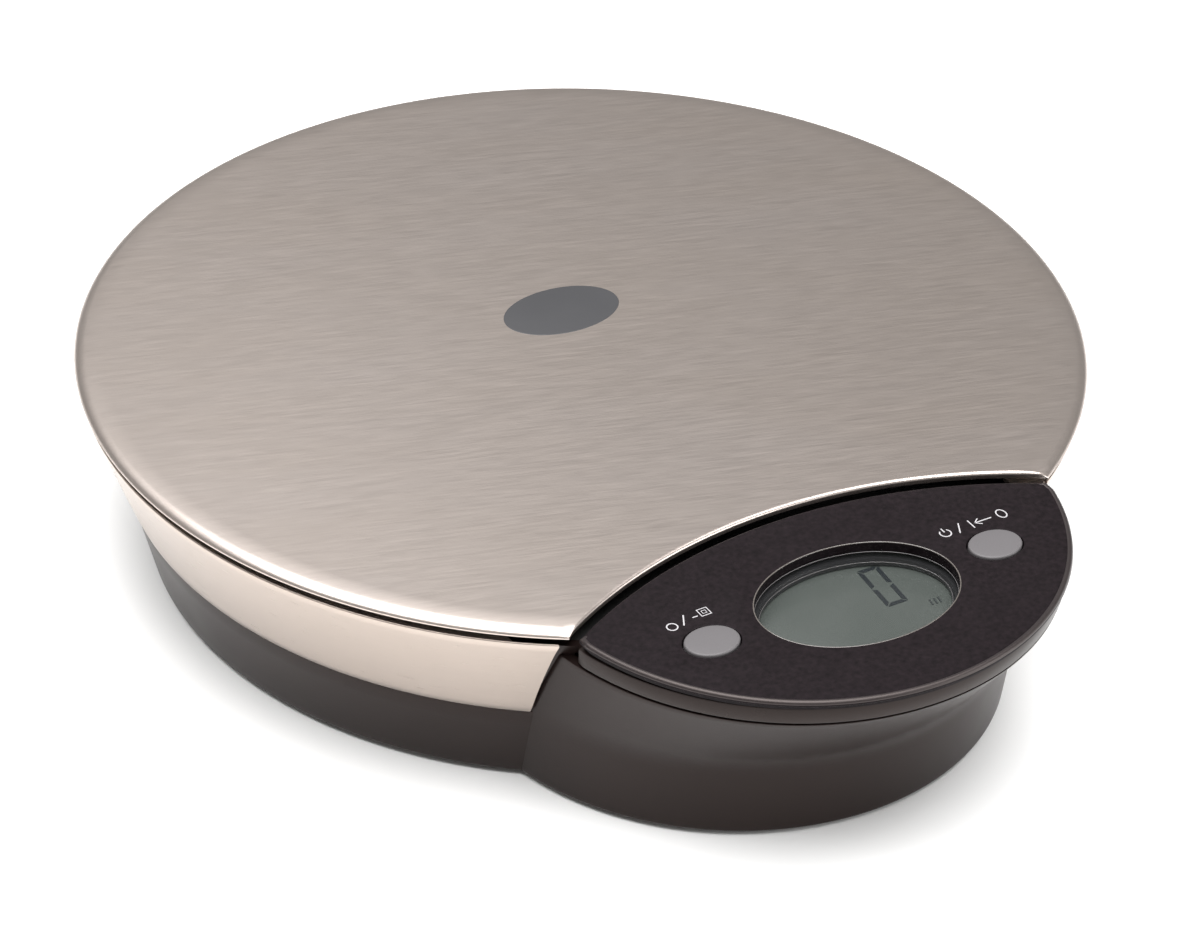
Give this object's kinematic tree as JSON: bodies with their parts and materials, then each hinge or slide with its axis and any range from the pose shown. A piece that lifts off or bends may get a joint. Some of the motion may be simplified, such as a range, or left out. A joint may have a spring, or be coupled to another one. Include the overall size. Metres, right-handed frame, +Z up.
{
  "type": "kitchen scale",
  "caption": "Electronic kitchen scale with a round brushed steel platter cut away by an arc for a black front pod with an oval display window and oval keys.",
  "frame": {"origin": "on the table, under the middle of the scale's bounding box", "axes": "+Z up, -Y towards the display pod and the user, +X to the user's right"},
  "size_m": [0.22, 0.2512, 0.048],
  "materials": {
    "platter_steel": "fine straight-brushed stainless steel, satin",
    "skirt_steel": "brushed stainless steel, brushed round the band",
    "housing_plastic": "charcoal-brown moulded ABS, smooth satin",
    "panel_plastic": "black ABS with a fine spark texture",
    "inner_plastic": "black moulded ABS, unpolished inside",
    "button_plastic": "mid-grey moulded keys, satin",
    "lens_clear": "clear acrylic window",
    "display": "grey-green reflective liquid crystal glass",
    "holder_plastic": "off-white moulded plastic",
    "connector_rubber": "layered elastomer connector",
    "board": "green solder mask on glass-fibre board",
    "chip_resin": "black potting resin",
    "cell_aluminium": "milled aluminium, clear anodised",
    "gauge_silicone": "white silicone sealant",
    "fastener_steel": "zinc-plated steel",
    "contact_metal": "nickel-plated spring steel",
    "foam": "double-sided adhesive foam",
    "foot_rubber": "black soft rubber",
    "battery_label": "plain green printed jacket",
    "switch_metal": "tin-plated case with a black plunger",
    "wire_white": "white PVC insulation",
    "wire_red": "red PVC insulation",
    "wire_black": "black PVC insulation"
  },
  "bodies": {
    "base": {"skirt_ring": "skirt_steel", "base_housing": "housing_plastic", "panel_frame": "housing_plastic", "control_panel": "panel_plastic", "deck_cover": "inner_plastic", "display_bezel": "panel_plastic", "display_lens": "lens_clear", "display_glass": "display", "display_holder": "holder_plastic", "connector_strip_front": "connector_rubber", "connector_strip_back": "connector_rubber", "circuit_board": "board", "controller_chip": "chip_resin", "load_cell": "cell_aluminium", "gauge_cover": "gauge_silicone", "cell_foot_block": "fastener_steel", "bridge_contact": "contact_metal", "positive_contact": "contact_metal", "negative_contact": "contact_metal", "contact_spring_1": "contact_metal", "contact_spring_2": "contact_metal", "load_cell_cable": "wire_white", "positive_lead": "wire_red", "negative_lead": "wire_black", "units_switch": "switch_metal", "tare_switch": "switch_metal", "foot_1": "foot_rubber", "housing_screw_1": "fastener_steel", "board_screw_1": "fastener_steel", "foot_2": "foot_rubber", "housing_screw_2": "fastener_steel", "board_screw_2": "fastener_steel", "foot_3": "foot_rubber", "housing_screw_3": "fastener_steel", "board_screw_3": "fastener_steel", "foot_4": "foot_rubber", "housing_screw_4": "fastener_steel", "board_screw_4": "fastener_steel", "battery_1": "battery_label", "base_cell_screw_1": "fastener_steel", "battery_2": "battery_label", "base_cell_screw_2": "fastener_steel"},
    "platform": {"platter": "platter_steel", "platter_carrier": "inner_plastic", "platter_pad_1": "foam", "platter_pad_2": "foam", "platter_pad_3": "foam", "platter_pad_4": "foam", "cell_head_block": "fastener_steel", "carrier_cell_screw_1": "fastener_steel", "carrier_cell_screw_2": "fastener_steel"},
    "units_key": {"units_button": "button_plastic", "units_plunger": "chip_resin"},
    "tare_key": {"tare_button": "button_plastic", "tare_plunger": "chip_resin"},
    "door": {"battery_door": "housing_plastic"}
  },
  "joints": [
    {"name": "platform_sink", "type": "slide", "parent": "base", "child": "platform", "axis": [0, 0, -1], "range_m": [0, 0.0008], "stiffness_N_per_m": 60000, "springref_m": -0.00005, "deforming": ["load_cell"]},
    {"name": "units_key_press", "type": "slide", "parent": "base", "child": "units_key", "axis": [0, 0, -1], "range_m": [0, 0.0005], "stiffness_N_per_m": 3000},
    {"name": "tare_key_press", "type": "slide", "parent": "base", "child": "tare_key", "axis": [0, 0, -1], "range_m": [0, 0.0005], "stiffness_N_per_m": 3000},
    {"name": "battery_door_hinge", "type": "hinge", "parent": "base", "child": "door", "pos_m": [0, -0.07005, 0.002], "axis": [1, 0, 0], "range_deg": [0, 80]}
  ]
}
